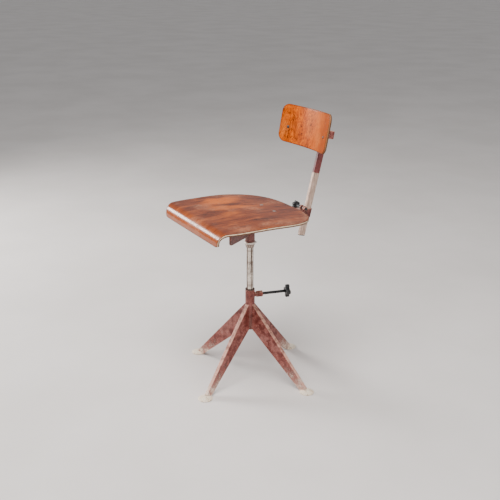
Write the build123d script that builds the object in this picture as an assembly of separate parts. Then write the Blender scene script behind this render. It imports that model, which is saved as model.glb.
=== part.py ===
from build123d import *
import os
from math import atan, cos, degrees, pi, radians, sin, sqrt, tan

# Height-adjustable swivel drafting chair: four folded-sheet legs, a telescopic column,
# a moulded plywood seat, and a curved plywood backrest on a raked sliding bar.
# Millimetres. +Z up, the sitter faces -Y, the sitter's left is +X.
# The origin is on the floor, on the axis of the column.

# ---- driving dimensions: base ----
LEG_COUNT = 4
FIRST_LEG_ANGLE = 22.3
LEG_NAMES = ["left", "rear", "right", "front"]
FOOT_CIRCLE_R = 230.0
FOOT_R = 23.0
FOOT_RIM_H = 2.5
FOOT_H = 8.5
SHEET = 2.0
TUBE_R = 15.5
TUBE_BORE_R = 13.5
TUBE_Z = (162.0, 299.0)
LEG_TOP_Z = 254.0
LEG_LOW_Z = 166.0
LEG_TIP_R = 226.0
LEG_TIP_Z = 14.0
LEG_HEEL_R = 205.0
LEG_WIDTH = (15.0, 12.0)
BEND_R = 2.5

# ---- driving dimensions: column and its clamp ----
COLUMN_R = 11.0
COLUMN_BORE_R = 8.5
COLUMN_Z = (168.0, 540.0)
RUNNING = 0.05
GAP = 0.3
BUSH_Z = ((188.0, 208.0), (262.0, 299.0))
BUSH_FLANGE_H = 2.5
CLAMP_Z = 280.0
CLAMP_ANGLE = 75.7
CLAMP_KNOB_AT_R = 127.0
CLAMP_KNOB_R = 22.0
CLAMP_KNOB_THICK = 13.0
BOSS_R = (21.0, 41.0)
BOSS_FLATS = 19.0
SCREW_R = 5.0
WINDOW_R = 7.0
SHOE_LENGTH = 5.0
COLLAR_Z = (444.0, 457.0)
RING_TOP_Z = 464.0
RING_R = 18.0
RING_EDGE_R = 1.5
SET_SCREW_ANGLE = 60.0
SET_SCREW_R = 1.8
SET_SCREW_END_R = 21.0
SOCKET_R = 15.25
SOCKET_TOP_Z = 550.0
RETAINER_ANGLE = 150.0
RETAINER_Z = 470.0
RETAINER_R = 3.0
GROOVE_DEPTH = 1.0

# ---- driving dimensions: seat ----
PLY = 7.5
SEAT_TOP_Z = 570.0
SEAT_FRONT_Y = -208.0
SEAT_LIP_Z = 529.0
SEAT_LIP_R = 30.0
SEAT_LIP_HALF = 190.5
SEAT_LIP_CORNER_R = 32.0
SEAT_BEND_Y = -60.0
SEAT_BEND_R = 1053.0
SEAT_FALL = 4.9
SEAT_WIDEST_Y = -47.0
SEAT_HALF_WIDTH = 197.0
SEAT_REAR_LENGTH = 203.0
SEAT_FRONT_LENGTH = 190.0
REAR_POWER = 3.0
FRONT_POWER = 5.0
ARM_ANGLE = -48.0
ARM_SHEET = 6.0
ARM_FLANGE = (22.0, 2.5)
ARM_LENGTH = 187.0
ARM_LOW_Z = (484.0, 510.0)
ARM_CORNER_R = 9.0
ARM_SCREW_R = (95.0, 165.0)
ARM_SCREW_HEAD_R = 4.0
ARM_SCREW_OFFSET = 13.0
SCREW_HOLE_R = 2.2
CROSS_PLATE = (104.0, 26.0, 2.5)
SEAT_BOLT_X = 39.0
SEAT_BOLT_Y = 65.0

# ---- driving dimensions: back bar and its clamp ----
BAR_WIDTH = 12.0
BAR_DEPTH = 22.0
BAR_WALL = 2.0
BAR_RAKE = 0.25
BAR_Y = 217.0
BAR_Y_AT_Z = 545.0
BAR_Z = (453.0, 791.0)
STRAP = 2.5
SPINE_REAR_Y = 186.0
SPINE_DEPTH = 28.0
STRAP_Z = (507.0, 539.0)
STRAP_CORNER_R = 10.0
STRAP_BEND_R = 4.0
STRAP_LAP = 18.0
STRAP_RISE = 6.0
EAR_Y = 199.0
EAR_Z = 543.0
EAR_R = 8.5
BAR_SCREW_R = 4.0
BAR_NUT = (13.0, 6.0)
BAR_WASHER = (8.0, 1.6)
BAR_KNOB_X = -43.0
BAR_KNOB_R = 14.0
BAR_KNOB_THICK = 12.0
BAR_HUB_R = 6.0

# ---- driving dimensions: backrest ----
BACK_R = 341.0
BACK_ARC = 269.0
BACK_HEIGHT = 121.5
BACK_CORNER_R = 25.0
BACK_TILT = 11.0
BACK_CENTRE = (0.0, 215.3, 800.0)
BACK_SCREW_ARC = 100.0
BACK_SCREW_V = -11.5
PIVOT_Z = 776.7
PIVOT_R = 4.0
BRACKET_HEIGHT = 25.0
BRACKET_REAR = 33.0
YOKE_FRONT = 25.0


# ---- values that follow from them ----
def polar(radius, angle, z=0.0):
    return Vector(radius * cos(radians(angle)), radius * sin(radians(angle)), z)


def bar_y(z):
    """Y of the back bar's centre line at height z."""
    return BAR_Y + BAR_RAKE * (z - BAR_Y_AT_Z)


BAR_LEAN = degrees(atan(BAR_RAKE))
BAR_HALF_LEVEL = BAR_DEPTH / 2 / cos(radians(BAR_LEAN))
FALL = tan(radians(SEAT_FALL))
FALL_START_Y = SEAT_BEND_Y + SEAT_BEND_R * sin(radians(SEAT_FALL))
FALL_START_Z = SEAT_TOP_Z - SEAT_BEND_R * (1 - cos(radians(SEAT_FALL)))
PLY_LEVEL = PLY / cos(radians(SEAT_FALL))
PIVOT = Vector(0, bar_y(PIVOT_Z), PIVOT_Z)
BACK_PLANE = Plane(
    origin=BACK_CENTRE,
    x_dir=(1, 0, 0),
    z_dir=(0, sin(radians(BACK_TILT)), cos(radians(BACK_TILT))),
)
PIVOT_LOCAL = BACK_PLANE.to_local_coords(PIVOT)


def seat_under_z(y):
    """Height of the seat's underside behind its bend."""
    return FALL_START_Z - PLY_LEVEL - FALL * (y - FALL_START_Y)


# ---- small helpers ----
def tube(outer_r, inner_r, low, high):
    height = high - low
    ring = Cylinder(outer_r, height) - Cylinder(inner_r, height + 2)
    return Pos(0, 0, (low + high) / 2) * ring


def rod(start, end, radius):
    """Round bar between two points."""
    line = Vector(*end) - Vector(*start)
    face = Plane(origin=start, z_dir=line) * Circle(radius)
    return extrude(face, amount=line.length)


def clamp_rod(start_r, end_r, radius):
    """Round bar along the height clamp's line, between two distances from the column's axis."""
    return rod(polar(start_r, CLAMP_ANGLE, CLAMP_Z), polar(end_r, CLAMP_ANGLE, CLAMP_Z), radius)


def hex_prism(start, end, across_flats, bore_r=0.0):
    line = Vector(*end) - Vector(*start)
    face = RegularPolygon(across_flats / 2, 6, major_radius=False, rotation=30)
    if bore_r:
        face -= Circle(bore_r)
    return extrude(Plane(origin=start, z_dir=line) * face, amount=line.length)


def washer(start, end, outer_r, bore_r):
    line = Vector(*end) - Vector(*start)
    face = Circle(outer_r) - Circle(bore_r)
    return extrude(Plane(origin=start, z_dir=line) * face, amount=line.length)


def side_plate(points, half_width):
    """Prism with a closed outline in the YZ plane, centred on X = 0."""
    face = Plane.YZ * make_face(Polyline(*points, close=True))
    return extrude(face, amount=half_width, both=True)


def star_knob(centre, axis, outer_r, lobes, thickness):
    """Lobed knob: round lobes on a round core, with its edges rounded over."""
    lobe_r = outer_r * 0.34
    face = Circle(outer_r * 0.6)
    for place in PolarLocations(outer_r - lobe_r, lobes):
        face += place * Circle(lobe_r)
    knob = extrude(face, amount=thickness / 2, both=True)
    knob = fillet(knob.edges().group_by(Axis.Z)[0], thickness * 0.22)
    knob = fillet(knob.edges().group_by(Axis.Z)[-1], thickness * 0.22)
    return Plane(origin=centre, z_dir=axis) * knob


# ---- base ----
def foot_pad():
    """Domed steel disc that stands on the floor."""
    outline = [
        Line((0, 0), (FOOT_R - 1, 0)),
        Line((FOOT_R - 1, 0), (FOOT_R, 1)),
        Line((FOOT_R, 1), (FOOT_R, FOOT_RIM_H)),
        ThreePointArc((FOOT_R, FOOT_RIM_H), (FOOT_R * 0.6, FOOT_H - 1.5), (FOOT_R * 0.2, FOOT_H)),
        Line((FOOT_R * 0.2, FOOT_H), (0, FOOT_H)),
        Line((0, FOOT_H), (0, 0)),
    ]
    face = Plane.XZ * make_face(outline)
    return Pos(FOOT_CIRCLE_R, 0, 0) * revolve(face, Axis.Z)


def tapered_channel(top_drop, side_inset, low_z, reach):
    """Wedge under the leg's top line, narrowing in plan from the tube to the foot."""
    slope = (LEG_TOP_Z - LEG_TIP_Z) / (LEG_TIP_R - COLUMN_R)
    end_r = LEG_TIP_R + reach
    top_start = LEG_TOP_Z - top_drop
    top_end = LEG_TIP_Z - top_drop - slope * reach
    heel_z = FOOT_RIM_H - low_z
    side = make_face(
        Polyline(
            (COLUMN_R, top_start),
            (end_r, top_end),
            (end_r, min(heel_z, top_end - 1)),
            (LEG_HEEL_R, heel_z),
            (COLUMN_R, LEG_LOW_Z - low_z),
            close=True,
        )
    )
    start, end = LEG_WIDTH[0] / 2 - side_inset, LEG_WIDTH[1] / 2 - side_inset
    plan = make_face(
        Polyline((COLUMN_R, -start), (end_r, -end), (end_r, end), (COLUMN_R, start), close=True)
    )
    wedge = extrude(Plane.XZ * side, amount=LEG_WIDTH[0], both=True)
    return wedge & Pos(0, 0, -LEG_LOW_Z) * extrude(plan, amount=2 * LEG_TOP_Z)


def leg():
    """One leg along +X: a folded sheet channel, open below, standing on its pad."""
    slope = (LEG_TOP_Z - LEG_TIP_Z) / (LEG_TIP_R - COLUMN_R)
    outer = tapered_channel(0, 0, 0, 0)
    crown = [edge for edge in outer.edges() if edge.length > LEG_TOP_Z]
    outer = fillet(crown, BEND_R)
    hollow = tapered_channel(SHEET * sqrt(1 + slope**2), SHEET, LEG_LOW_Z / 2, FOOT_R)
    shell = outer - hollow - foot_pad()
    return shell - Cylinder(TUBE_R, 3 * LEG_TOP_Z)


def base_tube():
    """Outer column tube, with a round window for the clamp."""
    return tube(TUBE_R, TUBE_BORE_R, *TUBE_Z) - clamp_rod(COLUMN_R, TUBE_R + 3, WINDOW_R)


def clamp_boss():
    """Threaded boss: a hexagon with a round spigot let into the tube's window."""
    start, end = (polar(radius, CLAMP_ANGLE, CLAMP_Z) for radius in BOSS_R)
    spigot = clamp_rod(TUBE_BORE_R, BOSS_R[0], WINDOW_R) - Cylinder(TUBE_BORE_R, 3 * LEG_TOP_Z)
    return spigot + hex_prism(start, end, BOSS_FLATS) - clamp_rod(0, 2 * BOSS_R[1], SCREW_R + RUNNING)


def column_bush(low, high, flange):
    """Guide bush pressed into the outer tube."""
    bush = tube(TUBE_BORE_R, COLUMN_R + RUNNING, low, high)
    if flange:
        bush += tube(TUBE_R, COLUMN_R + RUNNING, high, high + BUSH_FLANGE_H)
        bush -= clamp_rod(0, TUBE_R, WINDOW_R)
    return bush


# ---- column clamp ----
def clamp_shoe():
    """Small pressure pad between the screw's tip and the column."""
    pad = clamp_rod(COLUMN_R - 3, COLUMN_R + SHOE_LENGTH, SCREW_R - GAP)
    return pad - Cylinder(COLUMN_R + GAP, 3 * LEG_TOP_Z)


def clamp_screw():
    """Long locking screw, from the shoe out to the knob."""
    return clamp_rod(COLUMN_R + SHOE_LENGTH + GAP, CLAMP_KNOB_AT_R - CLAMP_KNOB_THICK / 2, SCREW_R)


def clamp_knob():
    """Four-lobed hand knob of the height clamp."""
    centre = polar(CLAMP_KNOB_AT_R, CLAMP_ANGLE, CLAMP_Z)
    return star_knob(centre, polar(1, CLAMP_ANGLE), CLAMP_KNOB_R, 4, CLAMP_KNOB_THICK)


# ---- column ----
def column_tube():
    """Inner column, with a shallow groove for the retaining screw."""
    shell = tube(COLUMN_R, COLUMN_BORE_R, *COLUMN_Z)
    half = RETAINER_R - 0.5 + GAP
    return shell - tube(COLUMN_R + 1, COLUMN_R - GROOVE_DEPTH, RETAINER_Z - half, RETAINER_Z + half)


def column_stop_plug():
    """Plug in the column's foot; its flange meets the lower bush at full height."""
    stem = tube(COLUMN_BORE_R, 3, COLUMN_Z[0], COLUMN_Z[0] + 14)
    return stem + tube(TUBE_BORE_R - GAP, 3, COLUMN_Z[0] - 4, COLUMN_Z[0])


def column_collar():
    """Conical collar fixed on the column under the thrust ring."""
    low, high = COLLAR_Z
    cone = Pos(0, 0, (low + high) / 2) * Cone(COLUMN_R + 1.5, RING_R - 2, high - low)
    return cone - Cylinder(COLUMN_R, 4 * high)


def thrust_ring():
    """Bearing ring that carries the seat socket."""
    ring = tube(RING_R, COLUMN_R, COLLAR_Z[1], RING_TOP_Z)
    rims = [edge for edge in ring.edges().filter_by(GeomType.CIRCLE) if edge.radius > COLUMN_R + 1]
    return fillet(rims, RING_EDGE_R) - ring_set_screw()


def ring_set_screw():
    """Grub screw that holds the thrust ring on the column; its end stands proud."""
    z = (COLLAR_Z[1] + RING_TOP_Z) / 2
    start, end = (polar(reach, SET_SCREW_ANGLE, z) for reach in (COLUMN_R - 1, SET_SCREW_END_R))
    return rod(start, end, SET_SCREW_R) - Cylinder(COLUMN_R, 4 * z)


# ---- seat carrier ----
def retainer_rod(start_r, end_r, radius):
    """Round bar along the retaining screw's line."""
    start, end = (polar(reach, RETAINER_ANGLE, RETAINER_Z) for reach in (start_r, end_r))
    return rod(start, end, radius)


def swivel_socket():
    """Tube that turns on the column and carries the arms."""
    shell = tube(SOCKET_R, COLUMN_R + RUNNING, RING_TOP_Z + GAP, SOCKET_TOP_Z)
    return shell - retainer_rod(0, SOCKET_R + 5, RETAINER_R)


def retaining_screw():
    """Screw in the socket's wall; its tip runs in the column's groove."""
    tip = retainer_rod(COLUMN_R - GROOVE_DEPTH + GAP, SOCKET_R, RETAINER_R - 0.5)
    shank = retainer_rod(COLUMN_R + 0.6, SOCKET_R + 1, RETAINER_R)
    head = retainer_rod(SOCKET_R + 0.6, SOCKET_R + 5, RETAINER_R * 1.5)
    return tip + shank + head


def socket_cap():
    """Disc that closes the socket's top."""
    return Pos(0, 0, SOCKET_TOP_Z + 1.5) * Cylinder(SOCKET_R, 3)


def arm_top_z(radius):
    """Height of an arm's top, which dips towards the socket to clear the seat's bend."""
    bend_r = SEAT_BEND_Y / sin(radians(ARM_ANGLE))
    dip = SEAT_BEND_Y**2 / SEAT_BEND_R / 2
    return SEAT_TOP_Z - PLY - dip * max(0, 1 - radius / bend_r)


def seat_arm(side):
    """Front arm: a deep tapered plate from the socket, with a flange along its top."""
    width, thick = ARM_FLANGE
    bend_r = SEAT_BEND_Y / sin(radians(ARM_ANGLE))
    start = SOCKET_R + ARM_FLANGE[0] / 2
    top = [(bend_r, arm_top_z(bend_r)), (ARM_LENGTH, arm_top_z(ARM_LENGTH))]
    web = make_face(
        Polyline((0, arm_top_z(0)), *top, (ARM_LENGTH, ARM_LOW_Z[1]), (0, ARM_LOW_Z[0]), close=True)
    )
    web = fillet(web.vertices().sort_by(Axis.X)[-2:].sort_by(Axis.Y)[0], ARM_CORNER_R)
    under = [(r, z - thick) for r, z in [(start, arm_top_z(start)), *top]]
    flange = make_face(Polyline((start, arm_top_z(start)), *top, *under[::-1], close=True))
    arm = extrude(Plane.XZ * web, amount=ARM_SHEET / 2, both=True)
    arm += extrude(Plane.XZ * flange, amount=width)
    for radius in ARM_SCREW_R:
        arm -= Pos(radius, -ARM_SCREW_OFFSET, SEAT_TOP_Z) * Cylinder(SCREW_HOLE_R, 6 * PLY)
    arm = Rot(0, 0, ARM_ANGLE) * (arm - Cylinder(SOCKET_R, 3 * SEAT_TOP_Z))
    return arm if side > 0 else mirror(arm, Plane.YZ)


def arm_screw_places():
    """Where the wood screws enter the seat's underside."""
    places = []
    for side in (1, -1):
        for radius in ARM_SCREW_R:
            spot = Vector(radius, -ARM_SCREW_OFFSET, SEAT_TOP_Z - PLY).rotate(Axis.Z, ARM_ANGLE)
            places.append(Pos(side * spot.X, spot.Y, spot.Z))
    return places


def seat_spine():
    """Rear channel from the socket to the bar strap, under the seat's fall."""
    drop = CROSS_PLATE[2] / cos(radians(SEAT_FALL))
    half = BAR_WIDTH / 2 + GAP + STRAP

    def outline(inset, depth, start, end):
        near, far = seat_under_z(start) - drop - inset, seat_under_z(end) - drop - inset
        return [(start, near), (end, far), (end, far - depth), (start, near - depth)]

    outer = side_plate(outline(0, SPINE_DEPTH, 0, SPINE_REAR_Y), half + SHEET)
    hollow = side_plate(outline(SHEET, 2 * SPINE_DEPTH, -1, SPINE_REAR_Y + 1), half)
    spine = outer - hollow - Cylinder(SOCKET_R, 3 * SEAT_TOP_Z)
    cap_room = Box(4 * SOCKET_R, 2 * SOCKET_R + 1, 12, align=(Align.CENTER, Align.CENTER, Align.MIN))
    return spine - Pos(0, 0, SOCKET_TOP_Z) * cap_room


def seat_cross_plate():
    """Flat strip across the spine; the two rear seat bolts pass through it."""
    width, depth, thick = CROSS_PLATE
    plate = Box(width, depth, thick, align=(Align.CENTER, Align.CENTER, Align.MAX))
    plate = fillet(plate.edges().filter_by(Axis.Z), 8)
    plate = Pos(0, SEAT_BOLT_Y, seat_under_z(SEAT_BOLT_Y)) * Rot(-SEAT_FALL, 0, 0) * plate
    for x in (-SEAT_BOLT_X, SEAT_BOLT_X):
        plate -= seat_bolt_place(x) * Cylinder(3.2, 4 * PLY)
    return plate


def clamp_ear(radius, half_width):
    """Disc across the bar, on the bar clamp's line."""
    return Pos(0, EAR_Y, EAR_Z) * Rot(0, 90, 0) * Cylinder(radius, 2 * half_width)


def bar_strap():
    """Strap folded round the back of the bar, with two ears for the clamp screw."""
    inner = BAR_WIDTH / 2 + GAP
    outer = inner + STRAP
    low, high = STRAP_Z
    rear = BAR_HALF_LEVEL + GAP
    front = SPINE_REAR_Y - STRAP_LAP
    side = make_face(
        Polyline(
            (front, low + STRAP_RISE),
            (SPINE_REAR_Y + STRAP_RISE, low),
            (bar_y(low) + rear + STRAP, low),
            (bar_y(high) + rear + STRAP, high),
            (front, high),
            close=True,
        )
    )
    side = fillet(side.vertices().sort_by(Axis.Y)[:2].sort_by(Axis.X)[-1], STRAP_CORNER_R)
    body = extrude(Plane.YZ * side, amount=outer, both=True)
    back = body.faces().filter_by(GeomType.PLANE).sort_by(Axis.Y)[-1]
    body = fillet(back.edges().filter_by(Axis.X, reverse=True), STRAP_BEND_R)
    ear_front, ear_rear = EAR_Y - EAR_R, EAR_Y + EAR_R - 2
    foot = [(ear_front, low + 8), (ear_rear, low + 8), (ear_rear, EAR_Z), (ear_front, EAR_Z)]
    body += clamp_ear(EAR_R, outer) + side_plate(foot, outer)
    channel_low, channel_high = low - 5, EAR_Z + 12
    channel = [
        (front - 2, channel_low),
        (bar_y(channel_low) + rear, channel_low),
        (bar_y(channel_high) + rear, channel_high),
        (front - 2, channel_high),
    ]
    return body - side_plate(channel, inner) - clamp_ear(BAR_SCREW_R + RUNNING, 2 * outer)


def bar_clamp_nut():
    """Nut fixed on the far ear."""
    start = BAR_WIDTH / 2 + GAP + STRAP
    bore_r = BAR_SCREW_R + RUNNING
    return hex_prism((start, EAR_Y, EAR_Z), (start + BAR_NUT[1], EAR_Y, EAR_Z), BAR_NUT[0], bore_r)


# ---- plywood seat ----
def seat_line(depth):
    """The seat's section, lip to rear, at a depth below its show face."""
    lip_y = SEAT_FRONT_Y + depth
    roll_y = SEAT_FRONT_Y + SEAT_LIP_R
    top = SEAT_TOP_Z - depth
    roll_z = SEAT_TOP_Z - SEAT_LIP_R
    fall = JernArc((SEAT_BEND_Y, top), (1, 0), SEAT_BEND_R - depth, -SEAT_FALL)
    end_y = SEAT_WIDEST_Y + SEAT_REAR_LENGTH + 20
    end_z = (fall @ 1).Y - FALL * (end_y - (fall @ 1).X)
    return [
        Line((lip_y, SEAT_LIP_Z), (lip_y, roll_z)),
        JernArc((lip_y, roll_z), (0, 1), SEAT_LIP_R - depth, -90),
        Line((roll_y, top), (SEAT_BEND_Y, top)),
        fall,
        Line(fall @ 1, (end_y, end_z)),
    ]


def seat_outline():
    """Plan of the seat: a superellipse, rounder behind its widest line than before it."""
    steps = 10
    points = []
    for quadrant in range(4):
        for step in range(steps):
            turn = pi / 2 * (quadrant + step / steps)
            rear = quadrant < 2
            power = 2 / (REAR_POWER if rear else FRONT_POWER)
            length = SEAT_REAR_LENGTH if rear else SEAT_FRONT_LENGTH
            x = SEAT_HALF_WIDTH * abs(cos(turn)) ** power * (1 if cos(turn) >= 0 else -1)
            y = length * abs(sin(turn)) ** power * (1 if sin(turn) >= 0 else -1)
            points.append((x, SEAT_WIDEST_Y + y))
    return make_face(Spline(*points, periodic=True))


def lip_envelope():
    """Front view of the lip with its two lower corners rounded; everything behind the roll is free."""
    roll_y = SEAT_FRONT_Y + SEAT_LIP_R
    height = 4 * SEAT_LIP_R
    front = RectangleRounded(2 * SEAT_LIP_HALF, height, SEAT_LIP_CORNER_R)
    lip = extrude(Plane.XZ * Pos(0, SEAT_LIP_Z + height / 2) * front, amount=2 * SEAT_LIP_R)
    rest = Box(
        3 * SEAT_HALF_WIDTH, 3 * SEAT_HALF_WIDTH, height, align=(Align.CENTER, Align.MIN, Align.CENTER)
    )
    return Pos(0, roll_y, 0) * (lip + Pos(0, 0, SEAT_TOP_Z) * rest)


def seat_panel():
    """Moulded plywood seat with a rolled front lip."""
    show, under = seat_line(0), seat_line(PLY)
    ends = [Line(show[0] @ 0, under[0] @ 0), Line(show[-1] @ 1, under[-1] @ 1)]
    section = Plane.YZ * make_face(show + under + ends)
    panel = extrude(section, amount=SEAT_HALF_WIDTH + 5, both=True)
    panel &= extrude(seat_outline(), amount=2 * SEAT_TOP_Z)
    panel &= lip_envelope()
    for x in (-SEAT_BOLT_X, SEAT_BOLT_X):
        panel -= seat_bolt_place(x) * Cylinder(3.1, 4 * PLY)
        panel -= seat_bolt_place(x) * Pos(0, 0, -1.5) * Cone(3, 6, 3)
    for place in arm_screw_places():
        panel -= place * Cylinder(2, 12)
    return panel


def seat_bolt_place(x):
    """Place on the seat's show face at a rear bolt, square to the face."""
    z = seat_under_z(SEAT_BOLT_Y) + PLY_LEVEL
    return Pos(x, SEAT_BOLT_Y, z) * Rot(-SEAT_FALL, 0, 0)


def seat_bolts():
    """Two raised countersunk bolts through the seat and the cross plate."""
    bolt = Pos(0, 0, -1.5) * Cone(3, 6, 3) + Pos(0, 0, -11) * Cylinder(3, 20)
    bolt += Pos(0, 0, 0.4) * Cone(6, 4, 0.8)
    return [seat_bolt_place(x) * bolt for x in (-SEAT_BOLT_X, SEAT_BOLT_X)]


def seat_bolt_washers():
    low = -PLY - CROSS_PLATE[2]
    ring = washer((0, 0, low - 1.5), (0, 0, low), 7, 3.2)
    return [seat_bolt_place(x) * ring for x in (-SEAT_BOLT_X, SEAT_BOLT_X)]


def seat_bolt_nuts():
    low = -PLY - CROSS_PLATE[2] - 1.5
    nut = hex_prism((0, 0, low - 5), (0, 0, low), 10, 3)
    return [seat_bolt_place(x) * nut for x in (-SEAT_BOLT_X, SEAT_BOLT_X)]


def arm_screws():
    """Four wood screws, up through the arms' flanges into the seat."""
    thick = ARM_FLANGE[1]
    head = Pos(0, 0, -thick - 1) * Cylinder(ARM_SCREW_HEAD_R, 2)
    screw = Pos(0, 0, 1.5 - thick / 2) * Cylinder(2, 8 + thick) + head
    return [place * screw for place in arm_screw_places()]


# ---- bar clamp ----
EAR_FACE_X = BAR_WIDTH / 2 + GAP + STRAP


def bar_clamp_washer():
    radius, thick = BAR_WASHER
    face = -EAR_FACE_X - GAP
    return washer((face - thick, EAR_Y, EAR_Z), (face, EAR_Y, EAR_Z), radius, BAR_SCREW_R + RUNNING)


def bar_clamp_screw():
    """Pinch screw through both ears and the nut."""
    start = BAR_KNOB_X + BAR_KNOB_THICK / 2
    return rod((start, EAR_Y, EAR_Z), (EAR_FACE_X + BAR_NUT[1] + 3, EAR_Y, EAR_Z), BAR_SCREW_R)


def bar_clamp_knob():
    """Six-lobed knob with a long hub."""
    knob = star_knob((BAR_KNOB_X, EAR_Y, EAR_Z), (1, 0, 0), BAR_KNOB_R, 6, BAR_KNOB_THICK)
    start = (BAR_KNOB_X + BAR_KNOB_THICK / 2, EAR_Y, EAR_Z)
    end = (-EAR_FACE_X - 2 * GAP - BAR_WASHER[1], EAR_Y, EAR_Z)
    return knob + washer(start, end, BAR_HUB_R, BAR_SCREW_R)


# ---- back bar ----
def bar_frame(z):
    """Frame on the bar's centre line, with Z along the bar."""
    return Pos(0, bar_y(z), z) * Rot(-BAR_LEAN, 0, 0)


BAR_LENGTH = (BAR_Z[1] - BAR_Z[0]) / cos(radians(BAR_LEAN))


def back_bar():
    """Raked rectangular tube that slides in the strap."""
    face = RectangleRounded(BAR_WIDTH, BAR_DEPTH, 2)
    face -= RectangleRounded(BAR_WIDTH - 2 * BAR_WALL, BAR_DEPTH - 2 * BAR_WALL, 0.6)
    bar = bar_frame(BAR_Z[0]) * extrude(face, amount=BAR_LENGTH)
    return bar - Pos(PIVOT) * Rot(0, 90, 0) * Cylinder(PIVOT_R + 2, 2 * BAR_WIDTH)


def bar_plug(end):
    """Plug pressed into an end of the bar."""
    head = extrude(RectangleRounded(BAR_WIDTH - 1, BAR_DEPTH - 1, 1.8), amount=2)
    stem = extrude(RectangleRounded(BAR_WIDTH - 2 * BAR_WALL, BAR_DEPTH - 2 * BAR_WALL, 0.6), amount=-8)
    flip = Rot(180, 0, 0) if end == 0 else Rot(0, 0, 0)
    return bar_frame(BAR_Z[end]) * flip * (head + stem)


def pivot_bush():
    """Bush across the bar for the tilt bolt."""
    bush = tube(PIVOT_R + 2, PIVOT_R + RUNNING, -BAR_WIDTH / 2, BAR_WIDTH / 2)
    return Pos(PIVOT) * Rot(0, 90, 0) * bush


# ---- backrest ----
# In BACK_PLANE, X runs across, Y runs rearwards from the show face, and Z runs up the panel.
CHEEK = BAR_WIDTH / 2 + 0.5
YOKE_Y = PIVOT_LOCAL.Y - YOKE_FRONT


def tilt_bracket():
    """U-shaped strap round the bar; the tilt bolt passes through its two cheeks."""
    front = YOKE_Y + STRAP / 2
    rear = PIVOT_LOCAL.Y + BRACKET_REAR
    length = rear - front
    outer = Pos(0, (front + rear) / 2) * Rectangle(2 * (CHEEK + STRAP), length)
    outer = fillet(outer.vertices().group_by(Axis.Y)[-1], STRAP + 2)
    inner = Pos(0, (front + rear) / 2 - STRAP) * Rectangle(2 * CHEEK, length)
    inner = fillet(inner.vertices().group_by(Axis.Y)[-1], 2)
    strap = extrude(outer - inner, amount=BRACKET_HEIGHT / 2, both=True)
    hole = Pos(0, PIVOT_LOCAL.Y, 0) * Rot(0, 90, 0) * Cylinder(PIVOT_R, 60)
    return BACK_PLANE * Pos(0, 0, PIVOT_LOCAL.Z) * (strap - hole)


def yoke_pad(side):
    """Centre of a yoke end on the panel's back, and the direction along the panel there."""
    turn = BACK_SCREW_ARC / BACK_R
    reach = BACK_R + PLY + STRAP / 2
    centre = Vector(side * reach * sin(turn), -BACK_R + reach * cos(turn))
    return centre, Vector(side * cos(turn), -sin(turn))


def backrest_yoke():
    """Bowed steel strip from the tilt bracket out to both ends of the panel."""
    points = []
    for side in (-1, 1):
        centre, along = yoke_pad(side)
        pad = [centre + along * 12, centre - along * 12, Vector(side * 16, YOKE_Y)]
        points += pad if side < 0 else pad[::-1]
    path = FilletPolyline(*points, radius=8)
    strip = extrude(trace(path, STRAP), amount=BRACKET_HEIGHT / 2, both=True)
    for side in (-1, 1):
        strip -= back_screw_place(side) * Cylinder(2.6, 60)
    return BACK_PLANE * Pos(0, 0, PIVOT_LOCAL.Z) * strip


def back_screw_place(side):
    """Place on the panel's show face at a screw, with Z out of the face."""
    turn = degrees(BACK_SCREW_ARC / BACK_R) * side
    return Pos(0, -BACK_R, 0) * Rot(0, 0, -turn) * Pos(0, BACK_R, 0) * Rot(90, 0, 0)


def backrest_panel():
    """Curved plywood panel with rounded corners."""
    half_turn = BACK_ARC / 2 / BACK_R
    width = 2 * BACK_R * sin(half_turn)
    ring = Circle(BACK_R + PLY) - Circle(BACK_R)
    slab = extrude(Pos(0, -BACK_R) * ring, amount=BACK_HEIGHT, both=True)
    front_view = RectangleRounded(width, BACK_HEIGHT, BACK_CORNER_R)
    cut = extrude(Plane.XZ * front_view, amount=BACK_R / 2, both=True)
    panel = slab & cut
    for side in (-1, 1):
        panel -= Pos(0, 0, BACK_SCREW_V) * back_screw_place(side) * Cylinder(2.6, 60)
    return BACK_PLANE * panel


def backrest_screws():
    """Two dome-headed screws through the panel and the yoke."""
    seat_gap = 0.06
    head = Sphere(6) & Pos(0, 0, 6) * Box(20, 20, 3.6)
    screw = Pos(0, 0, seat_gap - 4.2) * head + Pos(0, 0, seat_gap - 8.5) * Cylinder(2.5, 17)
    place = Pos(0, 0, BACK_SCREW_V)
    return [BACK_PLANE * place * back_screw_place(side) * screw for side in (-1, 1)]


def backrest_nuts():
    nut = hex_prism((0, 0, -PLY - STRAP - 4), (0, 0, -PLY - STRAP), 8, 2.6)
    place = Pos(0, 0, BACK_SCREW_V)
    return [BACK_PLANE * place * back_screw_place(side) * nut for side in (-1, 1)]


def tilt_bolt():
    """Bolt across the bar; the backrest tilts about it."""
    side = CHEEK + STRAP
    shank = rod(PIVOT - Vector(side + 10, 0, 0), PIVOT + Vector(side + 1.6, 0, 0), PIVOT_R)
    return shank + hex_prism(PIVOT + Vector(side + 1.6, 0, 0), PIVOT + Vector(side + 6.8, 0, 0), 13)


def tilt_washers():
    side = CHEEK + STRAP
    return [
        washer(PIVOT + Vector(side, 0, 0), PIVOT + Vector(side + 1.6, 0, 0), 8, PIVOT_R),
        washer(PIVOT - Vector(side + 1.6, 0, 0), PIVOT - Vector(side, 0, 0), 8, PIVOT_R),
    ]


def tilt_nut():
    side = CHEEK + STRAP + 1.6
    return hex_prism(PIVOT - Vector(side + 6.5, 0, 0), PIVOT - Vector(side, 0, 0), 13, PIVOT_R)


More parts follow.
